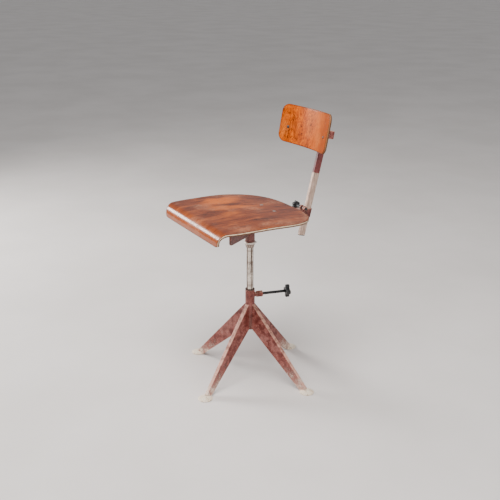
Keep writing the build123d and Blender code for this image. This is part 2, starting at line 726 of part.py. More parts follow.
# ---- assembly ----
def build_nodes():
    nodes = {
        "base_tube": base_tube(),
        "clamp_boss": clamp_boss(),
        "lower_bush": column_bush(*BUSH_Z[0], False),
        "upper_bush": column_bush(*BUSH_Z[1], True),
        "clamp_shoe": clamp_shoe(),
        "clamp_screw": clamp_screw(),
        "clamp_knob": clamp_knob(),
        "column_tube": column_tube(),
        "column_stop_plug": column_stop_plug(),
        "column_collar": column_collar(),
        "thrust_ring": thrust_ring(),
        "ring_set_screw": ring_set_screw(),
        "swivel_socket": swivel_socket(),
        "retaining_screw": retaining_screw(),
        "socket_cap": socket_cap(),
        "seat_arm_left": seat_arm(1),
        "seat_arm_right": seat_arm(-1),
        "seat_spine": seat_spine(),
        "seat_cross_plate": seat_cross_plate(),
        "bar_strap": bar_strap(),
        "bar_clamp_nut": bar_clamp_nut(),
        "seat_panel": seat_panel(),
        "seat_bolts": seat_bolts(),
        "seat_bolt_washers": seat_bolt_washers(),
        "seat_bolt_nuts": seat_bolt_nuts(),
        "arm_screws": arm_screws(),
        "bar_clamp_washer": bar_clamp_washer(),
        "bar_clamp_screw": bar_clamp_screw(),
        "bar_clamp_knob": bar_clamp_knob(),
        "back_bar": back_bar(),
        "bar_foot_plug": bar_plug(0),
        "bar_top_plug": bar_plug(1),
        "pivot_bush": pivot_bush(),
        "tilt_bracket": tilt_bracket(),
        "backrest_yoke": backrest_yoke(),
        "backrest_panel": backrest_panel(),
        "backrest_screws": backrest_screws(),
        "backrest_nuts": backrest_nuts(),
        "tilt_bolt": tilt_bolt(),
        "tilt_washers": tilt_washers(),
        "tilt_nut": tilt_nut(),
    }
    shared_leg = leg()
    shared_foot = foot_pad()
    for index, name in enumerate(LEG_NAMES):
        turn = Rot(0, 0, FIRST_LEG_ANGLE + index * 360 / LEG_COUNT)
        nodes[f"leg_{name}"] = turn * shared_leg
        nodes[f"foot_{name}"] = turn * shared_foot
    return nodes


os.makedirs("parts", exist_ok=True)
for name, shape in build_nodes().items():
    solids = shape if isinstance(shape, list) else shape.solids()
    export_step(Compound(children=list(solids)) if len(solids) > 1 else solids[0], f"parts/{name}.step")
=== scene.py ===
import math
import random

import bpy
from mathutils import Matrix, Vector


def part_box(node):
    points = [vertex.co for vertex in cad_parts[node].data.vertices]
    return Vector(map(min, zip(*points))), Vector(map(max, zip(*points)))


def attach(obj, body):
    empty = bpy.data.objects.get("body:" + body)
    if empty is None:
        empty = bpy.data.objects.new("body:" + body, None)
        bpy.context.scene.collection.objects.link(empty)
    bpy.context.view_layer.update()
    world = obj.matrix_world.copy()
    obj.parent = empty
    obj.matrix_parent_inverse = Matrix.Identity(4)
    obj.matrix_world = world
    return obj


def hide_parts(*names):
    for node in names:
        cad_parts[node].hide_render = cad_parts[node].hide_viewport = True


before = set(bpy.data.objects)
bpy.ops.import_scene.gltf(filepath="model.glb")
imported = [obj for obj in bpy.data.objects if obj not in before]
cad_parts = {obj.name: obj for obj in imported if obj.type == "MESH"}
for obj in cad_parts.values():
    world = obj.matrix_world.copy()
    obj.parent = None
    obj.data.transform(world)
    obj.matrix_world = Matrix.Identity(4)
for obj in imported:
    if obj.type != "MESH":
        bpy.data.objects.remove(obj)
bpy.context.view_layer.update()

# The looks of a height-adjustable drafting chair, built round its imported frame.
# Metres. +Z is up, the sitter faces -Y, and the column stands on the origin.

# ---- shape values shared by the plywood pieces and the details ----
PLY = 0.0075
PLY_EASE = 0.0016
RING_SPACING = 0.9
SEAT_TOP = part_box("seat_panel")[1].z
SEAT_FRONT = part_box("seat_panel")[0].y
SEAT_LIP_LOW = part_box("seat_panel")[0].z
SEAT_HALF_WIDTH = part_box("seat_panel")[1].x
SEAT_LIP_R = 0.030
SEAT_LIP_HALF = 0.1905
SEAT_LIP_CORNER_R = 0.032
SEAT_BEND_Y = -0.060
SEAT_BEND_R = 1.053
SEAT_FALL = math.radians(4.9)
SEAT_WIDEST_Y = -0.047
SEAT_REAR_LENGTH = 0.203
SEAT_FRONT_LENGTH = 0.190
REAR_POWER = 3.0
FRONT_POWER = 5.0
SEAT_BOLT = (0.039, 0.065)

BACK_R = 0.341
BACK_ARC = 0.269
BACK_HEIGHT = 0.1215
BACK_CORNER_R = 0.025
BACK_TILT = math.radians(11.0)
BACK_CENTRE = Vector((0.0, 0.2153, 0.800))
BACK_SCREW_ARC = 0.100
BACK_SCREW_V = -0.0115

TUBE_R = 0.0155
SOCKET_R = 0.01525
FIRST_LEG_ANGLE = math.radians(22.3)
LEG_COUNT = 4
LEG_HALF_WIDTH = 0.0075
ARM_ANGLES = (math.radians(-48), math.radians(228))
ARM_HALF_SHEET = 0.003
CLAMP_ANGLE = math.radians(75.7)
CLAMP_Z = 0.280
CLAMP_KNOB_AT_R = 0.127
BAR_LEAN = math.atan(0.25)
BAR_PAINT_EDGE = (0.244, 0.655)

# ---- sizes of the added details ----
WELD_R = 0.0011
WELD_STANDOFF = 0.0003
WELD_STEP = 0.0016
LEG_WELD_Z = (0.170, 0.249)
ARM_WELD_Z = (0.488, 0.548)
BOSS_SPIGOT_R = 0.0076
BOSS_FACE_R = 0.0164
THREAD_END_R = 0.082
THREAD_R = 0.0049
PLAIN_ROD_R = 0.0046
KNOB_CLEARANCE = 0.006
HEAD_SKIRT = 0.0008
BACK_SCREW_HEAD = (0.0052, 0.0022)
SEAT_BOLT_HEAD = (0.0050, 0.0012)

# Heights under the floor: paint given these never wears to bare metal.
NEVER_BARE = (-0.3, -0.2)

# ---- stage and camera values ----
FLOOR_REACH = 60.0
SKY_STRENGTH = 0.44
CAMERA_AT = (2.049, -1.178, 1.281)
CAMERA_PITCH = math.radians(20.81)
CAMERA_LENS = 56.88


# ---- small mesh helpers ----
def mesh_object(name, verts, faces, smooth=True):
    mesh = bpy.data.meshes.new(name)
    mesh.from_pydata([tuple(v) for v in verts], [], faces)
    mesh.polygons.foreach_set("use_smooth", [smooth] * len(mesh.polygons))
    mesh.update()
    piece = bpy.data.objects.new(name, mesh)
    bpy.context.scene.collection.objects.link(piece)
    return piece


def ring_faces(ring, rings, closed_rings=False):
    """Quads between consecutive rings of the same number of points."""
    faces = []
    for row in range(rings if closed_rings else rings - 1):
        low = row * ring
        high = (row + 1) % rings * ring
        for i in range(ring):
            j = (i + 1) % ring
            faces.append((low + i, low + j, high + j, high + i))
    return faces


def finish_piece(piece, body, slot, material, *nodes):
    """Gives a new piece its material, its body and the CAD nodes that it stands for."""
    piece.data.materials.append(material)
    if nodes:
        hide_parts(*nodes)
    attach(piece, body)


# ---- plywood ----
def even_loop(points, count):
    """Points evenly spaced along a closed outline."""
    lengths = [0.0]
    closed = points + points[:1]
    for a, b in zip(closed, closed[1:]):
        lengths.append(lengths[-1] + (b - a).length)
    spaced = []
    k = 0
    for i in range(count):
        target = lengths[-1] * i / count
        while lengths[k + 1] < target:
            k += 1
        share = (target - lengths[k]) / max(lengths[k + 1] - lengths[k], 1e-9)
        spaced.append(closed[k].lerp(closed[k + 1], share))
    return spaced


def outward(loop, i):
    """Outward direction, in the flat, at a point of an anticlockwise outline."""
    along = loop[(i + 1) % len(loop)] - loop[i - 1]
    return Vector((along.y, -along.x)).normalized()


def plywood_shell(name, outline, surface, count=240, rings=44):
    """Bent panel with eased edges. surface(x, s) gives a point on the show face and its normal."""
    loop = even_loop(outline, count)
    inner = [p - outward(loop, i) * PLY_EASE for i, p in enumerate(loop)]
    centre = sum(inner, Vector((0, 0))) / count
    show_half = []
    for ring in range(1, rings + 1):
        share = (ring / rings) ** RING_SPACING
        show_half.append(([centre.lerp(p, share) for p in inner], 0.0))
    for degrees in (30, 60, 90):
        turn = math.radians(degrees)
        spread = PLY_EASE * math.sin(turn)
        row = [p + outward(loop, i) * spread for i, p in enumerate(inner)]
        show_half.append((row, PLY_EASE * (1 - math.cos(turn))))
    rear_half = [(row, PLY - depth) for row, depth in reversed(show_half)]
    rows = show_half + [(loop, PLY / 2)] + rear_half
    verts = []
    flat = []
    depths = []
    rims = []
    for row, depth in rows:
        for i, p in enumerate(row):
            point, normal = surface(p.x, p.y)
            verts.append(point - normal * depth)
            flat.append(p)
            depths.append(depth / PLY)
            rims.append((loop[i] - p).length)
    faces = ring_faces(count, len(rows))
    for start, depth in ((0, 0.0), ((len(rows) - 1) * count, 1.0)):
        point, normal = surface(centre.x, centre.y)
        verts.append(point - normal * PLY * depth)
        flat.append(centre)
        depths.append(depth)
        rims.append(centre.y)
        hub = len(verts) - 1
        for i in range(count):
            j = (i + 1) % count
            faces.append((hub, start + j, start + i) if depth == 0 else (hub, start + i, start + j))
    piece = mesh_object(name, verts, faces)
    grain = piece.data.uv_layers.new(name="grain")
    for item in piece.data.loops:
        grain.data[item.index].uv = flat[item.vertex_index]
    for label, values in (("ply_depth", depths), ("rim_distance", rims)):
        piece.data.attributes.new(label, "FLOAT", "POINT").data.foreach_set("value", values)
    turn_outward(piece)
    return piece


def turn_outward(piece):
    """Makes every face's normal point out of a closed piece."""
    volume = 0.0
    mesh = piece.data
    for face in mesh.polygons:
        corners = [mesh.vertices[i].co for i in face.vertices]
        for b, c in zip(corners[1:], corners[2:]):
            volume += corners[0].dot(b.cross(c))
    if volume < 0:
        mesh.flip_normals()


ROLL_START = SEAT_TOP - SEAT_LIP_R - SEAT_LIP_LOW
ROLL_END = ROLL_START + SEAT_LIP_R * math.pi / 2
BEND_START = ROLL_END + SEAT_BEND_Y - (SEAT_FRONT + SEAT_LIP_R)
BEND_END = BEND_START + SEAT_BEND_R * SEAT_FALL


def seat_section(s):
    """(y, z) on the seat's show face and the face's normal, at a length s from the lip's lower edge."""
    if s < ROLL_START:
        return (SEAT_FRONT, SEAT_LIP_LOW + s), (-1.0, 0.0)
    if s < ROLL_END:
        turn = (s - ROLL_START) / SEAT_LIP_R
        y = SEAT_FRONT + SEAT_LIP_R * (1 - math.cos(turn))
        z = SEAT_TOP - SEAT_LIP_R * (1 - math.sin(turn))
        return (y, z), (-math.cos(turn), math.sin(turn))
    if s < BEND_START:
        return (SEAT_FRONT + SEAT_LIP_R + s - ROLL_END, SEAT_TOP), (0.0, 1.0)
    turn = min((s - BEND_START) / SEAT_BEND_R, SEAT_FALL)
    y = SEAT_BEND_Y + SEAT_BEND_R * math.sin(turn)
    z = SEAT_TOP - SEAT_BEND_R * (1 - math.cos(turn))
    rest = max(0.0, s - BEND_END)
    point = (y + rest * math.cos(turn), z - rest * math.sin(turn))
    return point, (math.sin(turn), math.cos(turn))


def seat_surface(x, s):
    (y, z), (ny, nz) = seat_section(s)
    return Vector((x, y, z)), Vector((0.0, ny, nz))


def seat_half_width(y, z):
    """Half the seat's width at a point of its section."""
    rear = y > SEAT_WIDEST_Y
    length = SEAT_REAR_LENGTH if rear else SEAT_FRONT_LENGTH
    power = REAR_POWER if rear else FRONT_POWER
    share = min(abs(y - SEAT_WIDEST_Y) / length, 1.0)
    plan = SEAT_HALF_WIDTH * (1 - share**power) ** (1 / power)
    above = SEAT_LIP_LOW + SEAT_LIP_CORNER_R - z
    if rear or above <= 0:
        return plan
    straight = SEAT_LIP_HALF - SEAT_LIP_CORNER_R
    return min(plan, straight + math.sqrt(max(SEAT_LIP_CORNER_R**2 - above**2, 0.0)))


def seat_outline():
    """The seat's outline, laid flat: across, and along the section from the lip's lower edge."""
    widest = BEND_START + SEAT_WIDEST_Y - SEAT_BEND_Y
    steps = 90
    side = []
    for i in range(steps):
        s = widest * (1 - math.cos(math.pi / 2 * i / steps))
        point, _ = seat_section(s)
        side.append(Vector((seat_half_width(*point), s)))
    for i in range(steps + 1):
        turn = math.pi / 2 * i / steps
        x = SEAT_HALF_WIDTH * math.cos(turn) ** (2 / REAR_POWER)
        y = SEAT_WIDEST_Y + SEAT_REAR_LENGTH * math.sin(turn) ** (2 / REAR_POWER)
        side.append(Vector((x, seat_length_at(y))))
    return side + [Vector((-p.x, p.y)) for p in reversed(side)]


def seat_length_at(y):
    """Length along the section, from the lip's lower edge, at a y behind the widest line."""
    bend_end_y = SEAT_BEND_Y + SEAT_BEND_R * math.sin(SEAT_FALL)
    if y < bend_end_y:
        return BEND_START + SEAT_BEND_R * math.asin((y - SEAT_BEND_Y) / SEAT_BEND_R)
    return BEND_END + (y - bend_end_y) / math.cos(SEAT_FALL)


def back_surface(x, v):
    """A point on the backrest's show face, across and up, and its normal."""
    turn = x / BACK_R
    flat = Vector((BACK_R * math.sin(turn), BACK_R * (math.cos(turn) - 1), v))
    normal = Vector((-math.sin(turn), -math.cos(turn), 0.0))
    lean = Matrix.Rotation(-BACK_TILT, 3, "X")
    return BACK_CENTRE + lean @ flat, lean @ normal


def back_outline():
    """The backrest's outline, laid flat: a rectangle with rounded corners."""
    half_width = BACK_R * math.sin(BACK_ARC / 2 / BACK_R)
    half_height = BACK_HEIGHT / 2
    points = []
    for corner, (sx, sy) in enumerate(((1, 1), (-1, 1), (-1, -1), (1, -1))):
        for i in range(13):
            turn = math.pi / 2 * (corner + i / 12)
            x = sx * (half_width - BACK_CORNER_R) + BACK_CORNER_R * math.cos(turn)
            y = sy * (half_height - BACK_CORNER_R) + BACK_CORNER_R * math.sin(turn)
            points.append(Vector((BACK_R * math.asin(x / BACK_R), y)))
    return points


# ---- metal details ----
def bead(name, path, radius, seed, closed=False):
    """Weld bead: a lumpy ridge that follows a path."""
    draw = random.Random(seed)
    sides = 8
    verts = []
    for i, point in enumerate(path):
        ahead = path[(i + 1) % len(path)] if closed else path[min(i + 1, len(path) - 1)]
        along = (ahead - path[i - 1 if closed else max(i - 1, 0)]).normalized()
        across = along.cross(Vector((point.x, point.y, 0)).normalized() + Vector((0, 0, 0.01))).normalized()
        out = across.cross(along)
        taper = 1.0 if closed else min(1.0, 0.35 + 0.3 * min(i, len(path) - 1 - i))
        size = radius * taper * (1 + 0.22 * math.sin(i * 1.9) + draw.uniform(-0.1, 0.1))
        for k in range(sides):
            turn = 2 * math.pi * k / sides
            verts.append(point + (across * math.cos(turn) + out * math.sin(turn)) * size)
    faces = ring_faces(sides, len(path), closed)
    if not closed:
        faces.append(tuple(range(sides))[::-1])
        faces.append(tuple(len(verts) - sides + k for k in range(sides)))
    piece = mesh_object(name, verts, faces)
    turn_outward(piece)
    return piece


def upright_bead(name, tube_r, angle, side, half_width, low, high, seed):
    """Bead down the corner where an upright plate meets a round tube."""
    reach = math.sqrt(tube_r**2 - half_width**2) + WELD_STANDOFF
    out = Vector((math.cos(angle), math.sin(angle), 0.0))
    across = Vector((-out.y, out.x, 0.0)) * side * (half_width + WELD_STANDOFF)
    steps = int((high - low) / WELD_STEP)
    heights = [low + (high - low) * i / steps for i in range(steps + 1)]
    path = [out * reach + across + Vector((0, 0, height)) for height in heights]
    return bead(name, path, WELD_R, seed)


def boss_bead(radius):
    """Bead round the clamp boss's spigot, on the outer tube."""
    out = Vector((math.cos(CLAMP_ANGLE), math.sin(CLAMP_ANGLE), 0.0))
    across = Vector((-out.y, out.x, 0.0))
    path = []
    steps = 40
    for i in range(steps):
        turn = 2 * math.pi * i / steps
        side = radius * math.cos(turn)
        reach = math.sqrt(TUBE_R**2 - side**2) + WELD_STANDOFF
        path.append(out * reach + across * side + Vector((0, 0, CLAMP_Z + radius * math.sin(turn))))
    return bead("clamp_boss_weld", path, WELD_R, 5, closed=True)


def along_line(start, direction):
    """Matrix that takes +Z to a direction and the origin to a point."""
    turn = direction.to_track_quat("Z", "Y").to_matrix().to_4x4()
    return Matrix.Translation(start) @ turn


def threaded_rod(name, place, stretches, sides=32, pitch=0.0015, depth=0.0008):
    """Round rod along a line. A stretch is (start, end, radius, threaded)."""
    verts = []
    for start, end, radius, threaded in stretches:
        step = pitch / 8 if threaded else (end - start)
        count = max(int(round((end - start) / step)), 1)
        for i in range(count + 1):
            z = start + (end - start) * i / count
            for k in range(sides):
                turn = 2 * math.pi * k / sides
                phase = (z / pitch - k / sides) % 1.0
                cut = depth * abs(2 * phase - 1) if threaded else 0.0
                reach = radius - cut
                verts.append(place @ Vector((reach * math.cos(turn), reach * math.sin(turn), z)))
    rings = len(verts) // sides
    faces = ring_faces(sides, rings)
    faces.append(tuple(range(sides))[::-1])
    faces.append(tuple((rings - 1) * sides + k for k in range(sides)))
    piece = mesh_object(name, verts, faces)
    turn_outward(piece)
    return piece


def slotted_head(verts, faces, place, radius, height, slot=0.0013, slot_depth=0.0011):
    """Adds a low domed screw head with a straight slot, standing on its place's XY plane."""
    ball = (radius**2 + height**2) / (2 * height)
    rows = 9
    columns = 17

    def dome(x, y):
        return math.sqrt(max(ball**2 - x * x - y * y, 0.0)) - (ball - height)

    for side in (-1, 1):
        base = len(verts)
        for i in range(rows):
            x = slot / 2 + (radius * 0.999 - slot / 2) * math.sin(math.pi / 2 * i / (rows - 1))
            half = math.sqrt(max(radius**2 - x * x, 0.0))
            for k in range(columns):
                y = half * math.sin(math.pi / 2 * (2 * k / (columns - 1) - 1))
                verts.append(place @ Vector((side * x, y, dome(x, y))))
        for i in range(rows - 1):
            for k in range(columns - 1):
                a = base + i * columns + k
                quad = (a, a + columns, a + columns + 1, a + 1)
                faces.append(quad if side > 0 else quad[::-1])
        wall = len(verts)
        floor_z = height - slot_depth
        for k in range(columns):
            y = radius * math.sin(math.pi / 2 * (2 * k / (columns - 1) - 1))
            verts.append(place @ Vector((side * slot / 2, y, min(floor_z, dome(slot / 2, y)))))
        for k in range(columns - 1):
            quad = (base + k, base + k + 1, wall + k + 1, wall + k)
            faces.append(quad if side > 0 else quad[::-1])
    left = wall - rows * columns - columns
    for k in range(columns - 1):
        faces.append((left + k, wall + k, wall + k + 1, left + k + 1))
    rim = len(verts)
    sides = 32
    for depth in (0.0, -HEAD_SKIRT):
        for k in range(sides):
            turn = 2 * math.pi * k / sides
            verts.append(place @ Vector((radius * math.cos(turn), radius * math.sin(turn), depth)))
    for k in range(sides):
        j = (k + 1) % sides
        faces.append((rim + sides + k, rim + sides + j, rim + j, rim + k))


def back_screw_heads():
    """The two slotted heads on the backrest's show face."""
    verts = []
    faces = []
    for side in (-1, 1):
        point, normal = back_surface(side * BACK_SCREW_ARC, BACK_SCREW_V)
        slot_turn = 0.6 + side
        place = along_line(point, normal) @ Matrix.Rotation(slot_turn, 4, "Z")
        slotted_head(verts, faces, place, *BACK_SCREW_HEAD)
    return mesh_object("backrest_screw_heads", verts, faces, smooth=False)


def seat_bolt_heads():
    """The two low slotted heads near the seat's rear."""
    verts = []
    faces = []
    x, y = SEAT_BOLT
    for side in (-1, 1):
        point, normal = seat_surface(side * x, seat_length_at(y))
        slot_turn = 0.4 + side
        place = along_line(point, normal) @ Matrix.Rotation(slot_turn, 4, "Z")
        slotted_head(verts, faces, place, *SEAT_BOLT_HEAD, slot_depth=0.0009)
    return mesh_object("seat_bolt_heads", verts, faces, smooth=False)


# ---- materials ----
class Shader:
    """A material with short calls for the nodes that are used over and over."""

    def __init__(self, name):
        self.material = bpy.data.materials.new(name)
        self.material.use_nodes = True
        self.tree = self.material.node_tree
        self.surface = self.tree.nodes["Principled BSDF"]

    def put(self, socket, value):
        if isinstance(value, bpy.types.NodeSocket):
            self.tree.links.new(value, socket)
        else:
            socket.default_value = value

    def node(self, kind, **settings):
        made = self.tree.nodes.new(kind)
        for key, value in settings.items():
            setattr(made, key, value)
        return made

    def position(self):
        return self.node("ShaderNodeTexCoord").outputs["Object"]

    def scaled(self, vector, scale, shift=(0.0, 0.0, 0.0)):
        made = self.node("ShaderNodeMapping")
        self.put(made.inputs["Vector"], vector)
        made.inputs["Scale"].default_value = scale
        made.inputs["Location"].default_value = shift
        return made.outputs["Vector"]

    def noise(self, vector, scale, detail=4.0, roughness=0.55, distortion=0.0):
        made = self.node("ShaderNodeTexNoise")
        self.put(made.inputs["Vector"], vector)
        made.inputs["Scale"].default_value = scale
        made.inputs["Detail"].default_value = detail
        made.inputs["Roughness"].default_value = roughness
        made.inputs["Distortion"].default_value = distortion
        return made.outputs["Fac"]

    def math(self, kind, a, b=0.0, clamp=False):
        made = self.node("ShaderNodeMath", operation=kind, use_clamp=clamp)
        self.put(made.inputs[0], a)
        self.put(made.inputs[1], b)
        return made.outputs[0]

    def split(self, vector):
        made = self.node("ShaderNodeSeparateXYZ")
        self.put(made.inputs[0], vector)
        return made.outputs

    def step(self, value, low, high):
        """Runs smoothly from 0 to 1 as value goes from low to high."""
        made = self.node("ShaderNodeMapRange", interpolation_type="SMOOTHSTEP")
        self.put(made.inputs["Value"], value)
        made.inputs["From Min"].default_value = low
        made.inputs["From Max"].default_value = high
        return made.outputs["Result"]

    def mix(self, share, a, b):
        made = self.node("ShaderNodeMix", data_type="RGBA")
        self.put(made.inputs[0], share)
        self.put(made.inputs[6], a if isinstance(a, bpy.types.NodeSocket) else (*a, 1.0))
        self.put(made.inputs[7], b if isinstance(b, bpy.types.NodeSocket) else (*b, 1.0))
        return made.outputs[2]

    def blend(self, share, a, b):
        """Mixes two plain numbers."""
        made = self.node("ShaderNodeMix", data_type="FLOAT")
        self.put(made.inputs[0], share)
        self.put(made.inputs[2], a)
        self.put(made.inputs[3], b)
        return made.outputs[0]

    def edge_wear(self, radius):
        """Near 1 on the corners of the mesh, and 0 on its flats."""
        soft = self.node("ShaderNodeBevel", samples=6)
        soft.inputs["Radius"].default_value = radius
        sharp = self.node("ShaderNodeNewGeometry").outputs["Normal"]
        dot = self.node("ShaderNodeVectorMath", operation="DOT_PRODUCT")
        self.put(dot.inputs[0], soft.outputs[0])
        self.put(dot.inputs[1], sharp)
        return self.step(dot.outputs["Value"], 0.985, 0.86)

    def bump(self, height, distance, strength):
        made = self.node("ShaderNodeBump")
        made.inputs["Strength"].default_value = strength
        made.inputs["Distance"].default_value = distance
        self.put(made.inputs["Height"], height)
        self.put(self.surface.inputs["Normal"], made.outputs[0])

    def set(self, **values):
        for key, value in values.items():
            name = key.replace("_", " ").title().replace("Ior", "IOR")
            self.put(self.surface.inputs[name], value)
        return self.material


def wood(name, dark, mid, light, worn, figure, swirl_share, edge_light, gloss, glow):
    """Lacquered veneer with fine streaks, figure, worn patches, a dark rim and a layered edge, whose half
    towards the back face is painted shade.
    """
    m = Shader(name)
    grain = m.node("ShaderNodeUVMap", uv_map="grain").outputs[0]
    along = m.scaled(grain, (1.0, 0.05, 1.0))
    fine = m.noise(along, 900, detail=5, roughness=0.65)
    streak = m.noise(m.scaled(grain, (1.0, 0.09, 1.0)), 150, detail=6, roughness=0.6, distortion=0.4)
    broad = m.noise(m.scaled(grain, (1.0, 0.22, 1.0), (0.3, 0.1, 0)), 26, detail=3, distortion=figure)
    swirl = m.noise(m.scaled(grain, (1.0, 0.55, 1.0), (1.7, 0.4, 0)), 34, detail=4, distortion=figure * 2.4)
    tone = m.math("ADD", m.math("MULTIPLY", streak, 0.5), m.math("MULTIPLY", broad, 0.5))
    tone = m.blend(swirl_share, tone, swirl)
    base = m.mix(m.step(tone, 0.36, 0.52), dark, mid)
    base = m.mix(m.step(tone, 0.50, 0.66), base, light)
    pores = m.step(fine, 0.60, 0.72)
    base = m.mix(m.math("MULTIPLY", pores, 0.55), base, dark)
    base = glow(m, grain, base)
    patch = m.noise(m.scaled(grain, (1.0, 0.8, 1.0), (0.9, 2.3, 0)), 11, detail=6, roughness=0.62)
    scuff = m.noise(m.scaled(grain, (1.0, 0.5, 1.0)), 240, detail=5, roughness=0.7)
    wear = m.math("MULTIPLY", m.step(patch, 0.50, 0.68), m.step(scuff, 0.35, 0.62))
    base = m.mix(m.math("MULTIPLY", wear, 0.62), base, worn)
    depth = m.node("ShaderNodeAttribute", attribute_name="ply_depth").outputs["Fac"]
    rim = m.node("ShaderNodeAttribute", attribute_name="rim_distance").outputs["Fac"]
    ragged_rim = m.math("ADD", rim, m.math("MULTIPLY", m.math("SUBTRACT", scuff, 0.5), 0.004))
    base = m.mix(m.math("MULTIPLY", m.step(ragged_rim, 0.0042, 0.0014), 0.7), base, dark)
    inside = m.math("MULTIPLY", m.step(depth, 0.05, 0.14), m.step(depth, 0.97, 0.90))
    # The edge's half towards the back face is painted shade: dark brown below the pale ply.
    edge = m.mix(m.step(depth, 0.42, 0.50), edge_light, (0.07, 0.028, 0.015))
    dark_layer = 0.72
    from_layer = m.math("ABSOLUTE", m.math("SUBTRACT", depth, dark_layer))
    edge = m.mix(m.step(from_layer, 0.07, 0.04), edge, (0.26, 0.13, 0.07))
    grime = m.noise(grain, 70, detail=5)
    edge = m.mix(m.math("MULTIPLY", m.step(grime, 0.48, 0.68), 0.45), edge, (0.20, 0.10, 0.055))
    m.bump(m.math("ADD", m.math("MULTIPLY", fine, -0.4), m.math("MULTIPLY", streak, 0.25)), 0.0004, 0.35)
    shine = m.blend(wear, m.blend(streak, 0.24, 0.33), 0.50)
    return m.set(
        base_color=m.mix(inside, base, edge),
        roughness=m.blend(inside, shine, 0.62),
        specular_ior_level=gloss,
        coat_weight=m.blend(wear, gloss, 0.03),
        coat_roughness=0.13,
    )


def seat_glow(m, grain, base):
    """Orange patches in the middle of the seat, and an orange lip with dark worn specks."""
    x, s, _ = m.split(grain)
    warm = m.noise(m.scaled(grain, (1.0, 0.35, 1.0), (0.2, 0.7, 0)), 15, detail=4)
    middle = m.math("MULTIPLY", m.step(s, 0.10, 0.17), m.step(s, 0.34, 0.22))
    share = m.math("MULTIPLY", middle, m.step(warm, 0.42, 0.62))
    far_side = m.step(x, 0.09, -0.07)
    share = m.math("MULTIPLY", share, m.blend(far_side, 0.35, 0.85))
    base = m.mix(share, base, (0.58, 0.120, 0.006))
    lip = m.step(s, 0.062, 0.018)
    base = m.mix(m.math("MULTIPLY", lip, 0.62), base, (0.42, 0.080, 0.006))
    specks = m.noise(m.scaled(grain, (1.0, 1.6, 1.0)), 190, detail=6, roughness=0.75)
    worn_lip = m.math("MULTIPLY", lip, m.step(specks, 0.56, 0.68))
    return m.mix(m.math("MULTIPLY", worn_lip, 0.8), base, (0.06, 0.014, 0.005))


def back_tone_and_painted_shade(m, grain, base):
    """Evens the veneer to orange on the backrest's +X half, and darkens it towards that end as painted
    shade.
    """
    x = m.split(grain)[0]
    waver = m.noise(grain, 22, detail=3)
    across = m.math("ADD", x, m.math("MULTIPLY", m.math("SUBTRACT", waver, 0.5), 0.05))
    base = m.mix(m.math("MULTIPLY", m.step(across, 0.004, 0.045), 0.62), base, (0.56, 0.115, 0.012))
    # Painted shade: the veneer darkens towards the +X end.
    return m.mix(m.math("MULTIPLY", m.step(across, 0.050, 0.100), 0.62), base, (0.25, 0.045, 0.012))


def paint(name, bare_low, bare_high, wear, rust_low=None, shade=1.0):
    """Oxide red paint: chipped, worn pale on corners, pale on upward faces as wear and painted highlight,
    bare or rusty low down, and darkened when shade is below 1.
    """
    m = Shader(name)
    place = m.position()
    height = m.split(place)[2]
    mottle = m.noise(place, 70, detail=5, roughness=0.6)
    grit = m.noise(place, 620, detail=4, roughness=0.7)
    cloud = m.noise(place, 18, detail=4)
    red = m.mix(m.step(mottle, 0.35, 0.65), (0.120, 0.012, 0.007), (0.250, 0.034, 0.021))
    red = m.mix(m.math("MULTIPLY", m.step(cloud, 0.48, 0.66), 0.35), red, (0.46, 0.18, 0.145))
    corner = m.math("MULTIPLY", m.edge_wear(0.0022), m.step(grit, 0.30, 0.55))
    facing = m.split(m.node("ShaderNodeTexCoord").outputs["Normal"])[2]
    # Upward faces turn pale pink: partly wear, partly painted highlight from the light above.
    upward_wear_and_highlight = m.math("MULTIPLY", m.step(facing, 0.30, 0.55), m.blend(m.step(mottle, 0.36, 0.60), 0.35, 1.0))
    upward_wear_and_highlight = m.math("MULTIPLY", upward_wear_and_highlight, m.blend(m.step(grit, 0.36, 0.56), 0.45, 1.0))
    worn = m.math("MULTIPLY", m.math("MAXIMUM", corner, upward_wear_and_highlight), wear)
    # shade below 1 darkens the red: partly darker paint, partly painted shade under the seat.
    red = m.mix(1 - shade, red, (0.03, 0.008, 0.006))
    worn_and_highlit_paint = m.mix(worn, red, (0.95, 0.52, 0.37))
    dusted = m.math("MULTIPLY", m.step(grit, 0.46, 0.62), m.step(mottle, 0.40, 0.62))
    worn_and_highlit_paint = m.mix(m.math("MULTIPLY", dusted, wear * 0.65), worn_and_highlit_paint, (0.62, 0.36, 0.30))
    ragged = m.math("ADD", height, m.math("MULTIPLY", m.math("SUBTRACT", mottle, 0.5), 0.09))
    ragged = m.math("ADD", ragged, m.math("MULTIPLY", m.math("SUBTRACT", grit, 0.5), 0.24))
    bare = m.step(ragged, bare_high, bare_low)
    metal = m.mix(m.step(mottle, 0.4, 0.62), (0.93, 0.74, 0.60), (0.56, 0.32, 0.25))
    colour = m.mix(bare, worn_and_highlit_paint, metal)
    chips = m.noise(place, 240, detail=5, roughness=0.75)
    chip = m.math("MULTIPLY", m.step(chips, 0.66, 0.72), wear)
    colour = m.mix(chip, colour, (0.16, 0.085, 0.06))
    if rust_low:
        rusty = m.math("MULTIPLY", m.step(ragged, rust_low + 0.05, rust_low), m.step(mottle, 0.3, 0.6))
        colour = m.mix(rusty, colour, (0.105, 0.043, 0.026))
    m.bump(m.math("ADD", m.math("MULTIPLY", bare, -0.5), m.math("MULTIPLY", grit, 0.5)), 0.0002, 0.5)
    return m.set(
        base_color=colour,
        metallic=m.math("MULTIPLY", bare, 0.30),
        roughness=m.blend(bare, m.blend(mottle, 0.40, 0.58), 0.46),
    )


